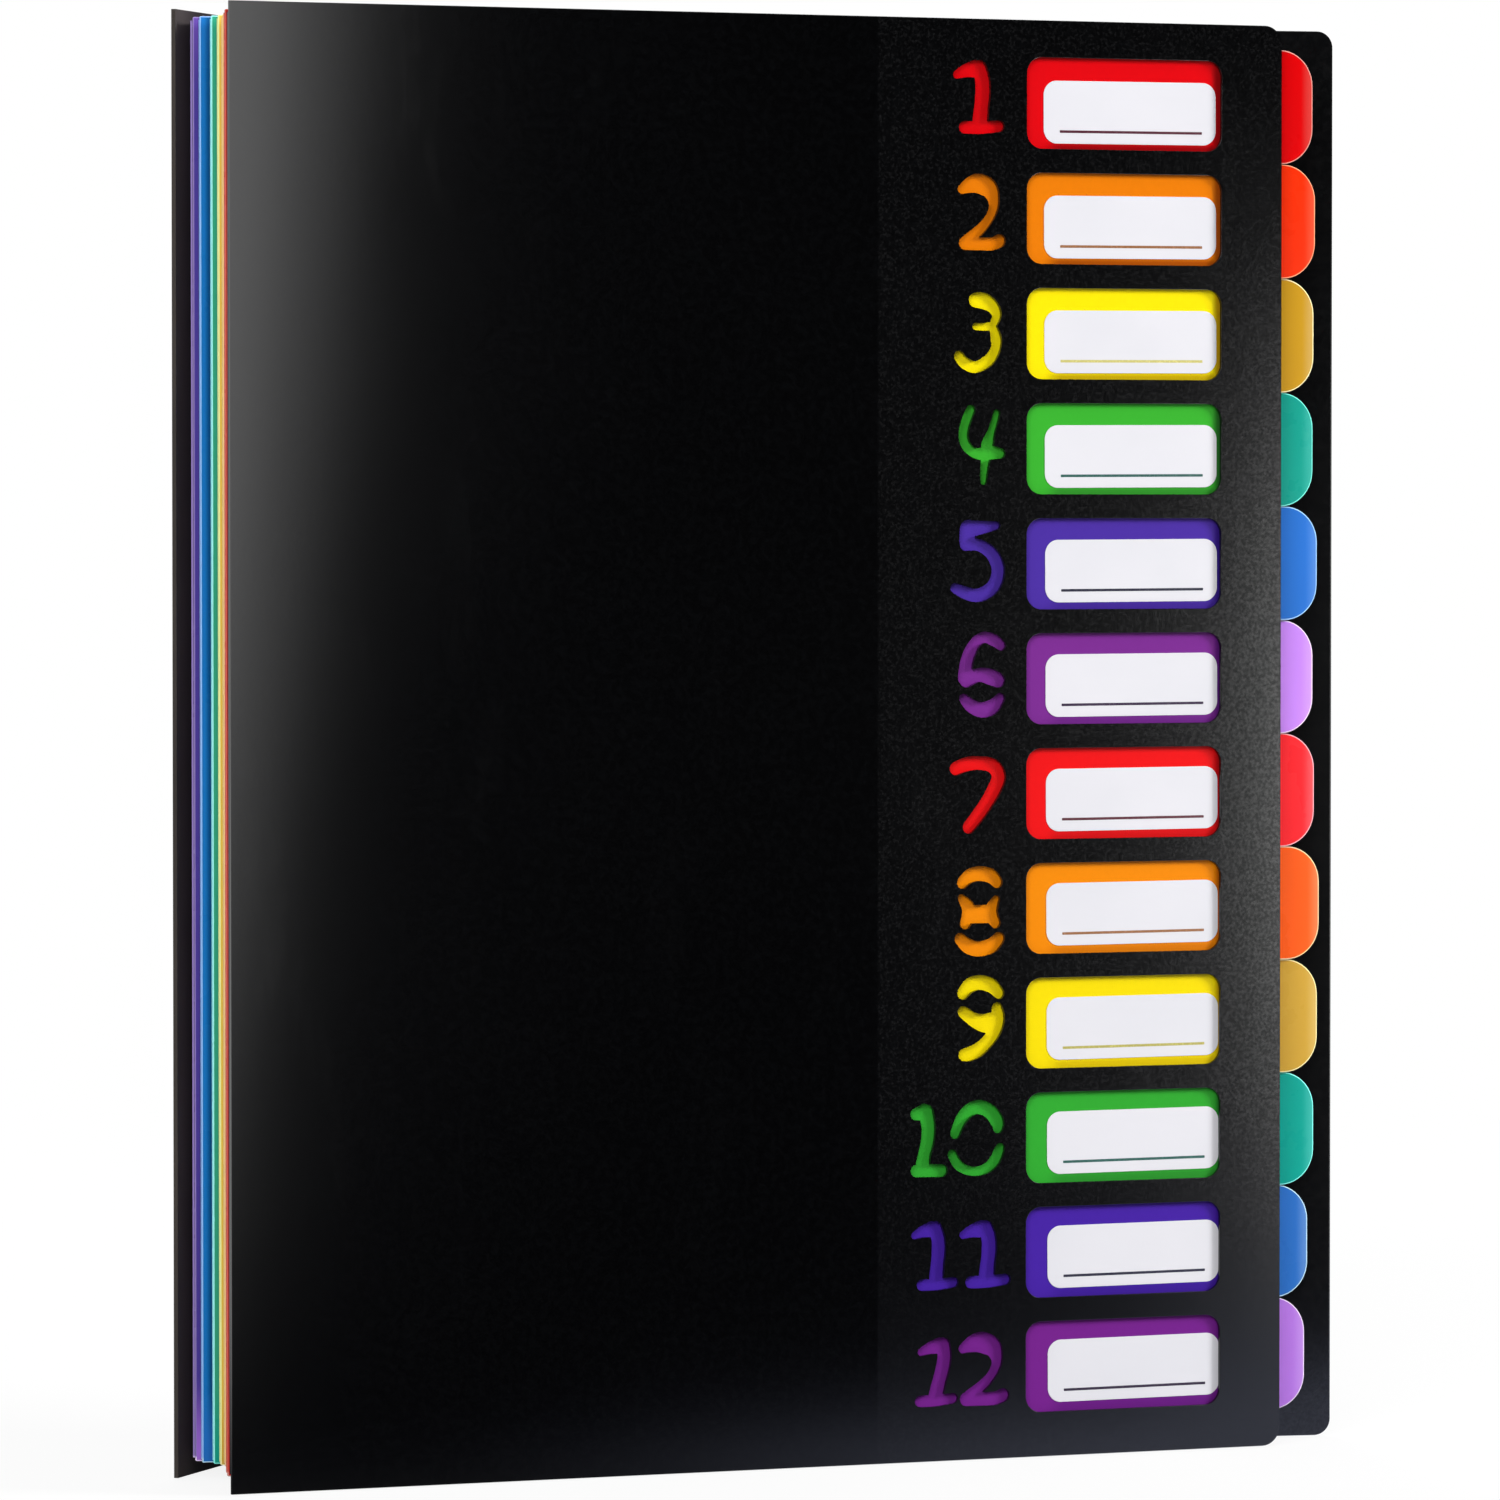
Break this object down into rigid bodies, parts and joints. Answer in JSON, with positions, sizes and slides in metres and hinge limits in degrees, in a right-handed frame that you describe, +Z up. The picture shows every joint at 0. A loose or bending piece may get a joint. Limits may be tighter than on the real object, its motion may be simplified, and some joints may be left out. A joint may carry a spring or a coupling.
{
  "type": "file folder organizer",
  "caption": "Expanding file organizer with black covers, tabbed coloured dividers on welded folds, a windowed front with stencil numbers and a slide-in index card.",
  "frame": {"origin": "centre of the whole part's box in plan, at the bottom edge that it stands on", "axes": "+Z up along the folds, -Y out of the front cover's face, +X from the folds to the tabs"},
  "size_m": [0.2544, 0.055, 0.3],
  "materials": {
    "cover_black": "satin, fine grain",
    "red": "translucent satin",
    "orange": "translucent satin",
    "yellow": "translucent satin",
    "green": "translucent satin",
    "blue": "translucent satin",
    "violet": "translucent satin",
    "clear_film": "clear film",
    "card": "matt printed card",
    "label": "matt paper, blank"
  },
  "bodies": {
    "back_cover": {"back_cover": "cover_black"},
    "binding_strip": {"binding_strip": "cover_black", "binding_flap_12": "violet"},
    "divider_12": {"divider_12": "violet", "binding_flap_11": "blue"},
    "divider_11": {"divider_11": "blue", "binding_flap_10": "green"},
    "divider_10": {"divider_10": "green", "binding_flap_09": "yellow"},
    "divider_09": {"divider_09": "yellow", "binding_flap_08": "orange"},
    "divider_08": {"divider_08": "orange", "binding_flap_07": "red"},
    "divider_07": {"divider_07": "red", "binding_flap_06": "violet"},
    "divider_06": {"divider_06": "violet", "binding_flap_05": "blue"},
    "divider_05": {"divider_05": "blue", "binding_flap_04": "green"},
    "divider_04": {"divider_04": "green", "binding_flap_03": "yellow"},
    "divider_03": {"divider_03": "yellow", "binding_flap_02": "orange"},
    "divider_02": {"divider_02": "orange", "binding_flap_01": "red"},
    "divider_01": {"divider_01": "red", "cover_binding_flap": "cover_black"},
    "front_cover": {"front_cover": "cover_black", "clear_sleeve": "clear_film"},
    "index_card": {"index_card": "card", "label_01": "label", "label_02": "label", "label_03": "label", "label_04": "label", "label_05": "label", "label_06": "label", "label_07": "label", "label_08": "label", "label_09": "label", "label_10": "label", "label_11": "label", "label_12": "label"}
  },
  "joints": [
    {"name": "back_score", "type": "hinge", "parent": "back_cover", "child": "binding_strip", "pos_m": [-0.10707, 0.02706, 0.15], "axis": [0, 0, -1], "range_deg": [0, 15]},
    {"name": "divider_12_fold", "type": "hinge", "parent": "binding_strip", "child": "divider_12", "pos_m": [-0.12295, 0.00369, 0.15], "axis": [0, 0, -1], "range_deg": [0, 10]},
    {"name": "divider_11_fold", "type": "hinge", "parent": "divider_12", "child": "divider_11", "pos_m": [-0.12252, 0.00059, 0.15], "axis": [0, 0, -1], "range_deg": [0, 10]},
    {"name": "divider_10_fold", "type": "hinge", "parent": "divider_11", "child": "divider_10", "pos_m": [-0.12109, -0.0024, 0.15], "axis": [0, 0, -1], "range_deg": [0, 10]},
    {"name": "divider_09_fold", "type": "hinge", "parent": "divider_10", "child": "divider_09", "pos_m": [-0.12059, -0.00528, 0.15], "axis": [0, 0, -1], "range_deg": [0, 10]},
    {"name": "divider_08_fold", "type": "hinge", "parent": "divider_09", "child": "divider_08", "pos_m": [-0.12055, -0.00805, 0.15], "axis": [0, 0, -1], "range_deg": [0, 10]},
    {"name": "divider_07_fold", "type": "hinge", "parent": "divider_08", "child": "divider_07", "pos_m": [-0.12045, -0.01071, 0.15], "axis": [0, 0, -1], "range_deg": [0, 10]},
    {"name": "divider_06_fold", "type": "hinge", "parent": "divider_07", "child": "divider_06", "pos_m": [-0.12075, -0.01326, 0.15], "axis": [0, 0, -1], "range_deg": [0, 10]},
    {"name": "divider_05_fold", "type": "hinge", "parent": "divider_06", "child": "divider_05", "pos_m": [-0.12133, -0.0157, 0.15], "axis": [0, 0, -1], "range_deg": [0, 10]},
    {"name": "divider_04_fold", "type": "hinge", "parent": "divider_05", "child": "divider_04", "pos_m": [-0.12216, -0.01803, 0.15], "axis": [0, 0, -1], "range_deg": [0, 10]},
    {"name": "divider_03_fold", "type": "hinge", "parent": "divider_04", "child": "divider_03", "pos_m": [-0.12319, -0.02025, 0.15], "axis": [0, 0, -1], "range_deg": [0, 10]},
    {"name": "divider_02_fold", "type": "hinge", "parent": "divider_03", "child": "divider_02", "pos_m": [-0.12437, -0.02236, 0.15], "axis": [0, 0, -1], "range_deg": [0, 10]},
    {"name": "divider_01_fold", "type": "hinge", "parent": "divider_02", "child": "divider_01", "pos_m": [-0.12562, -0.02436, 0.15], "axis": [0, 0, -1], "range_deg": [0, 10]},
    {"name": "front_cover_fold", "type": "hinge", "parent": "divider_01", "child": "front_cover", "pos_m": [-0.12562, -0.02661, 0.15], "axis": [0, 0, -1], "range_deg": [0, 160]},
    {"name": "index_card_slide", "type": "slide", "parent": "front_cover", "child": "index_card", "axis": [0, 0, 1], "range_m": [0, 0.285]}
  ]
}
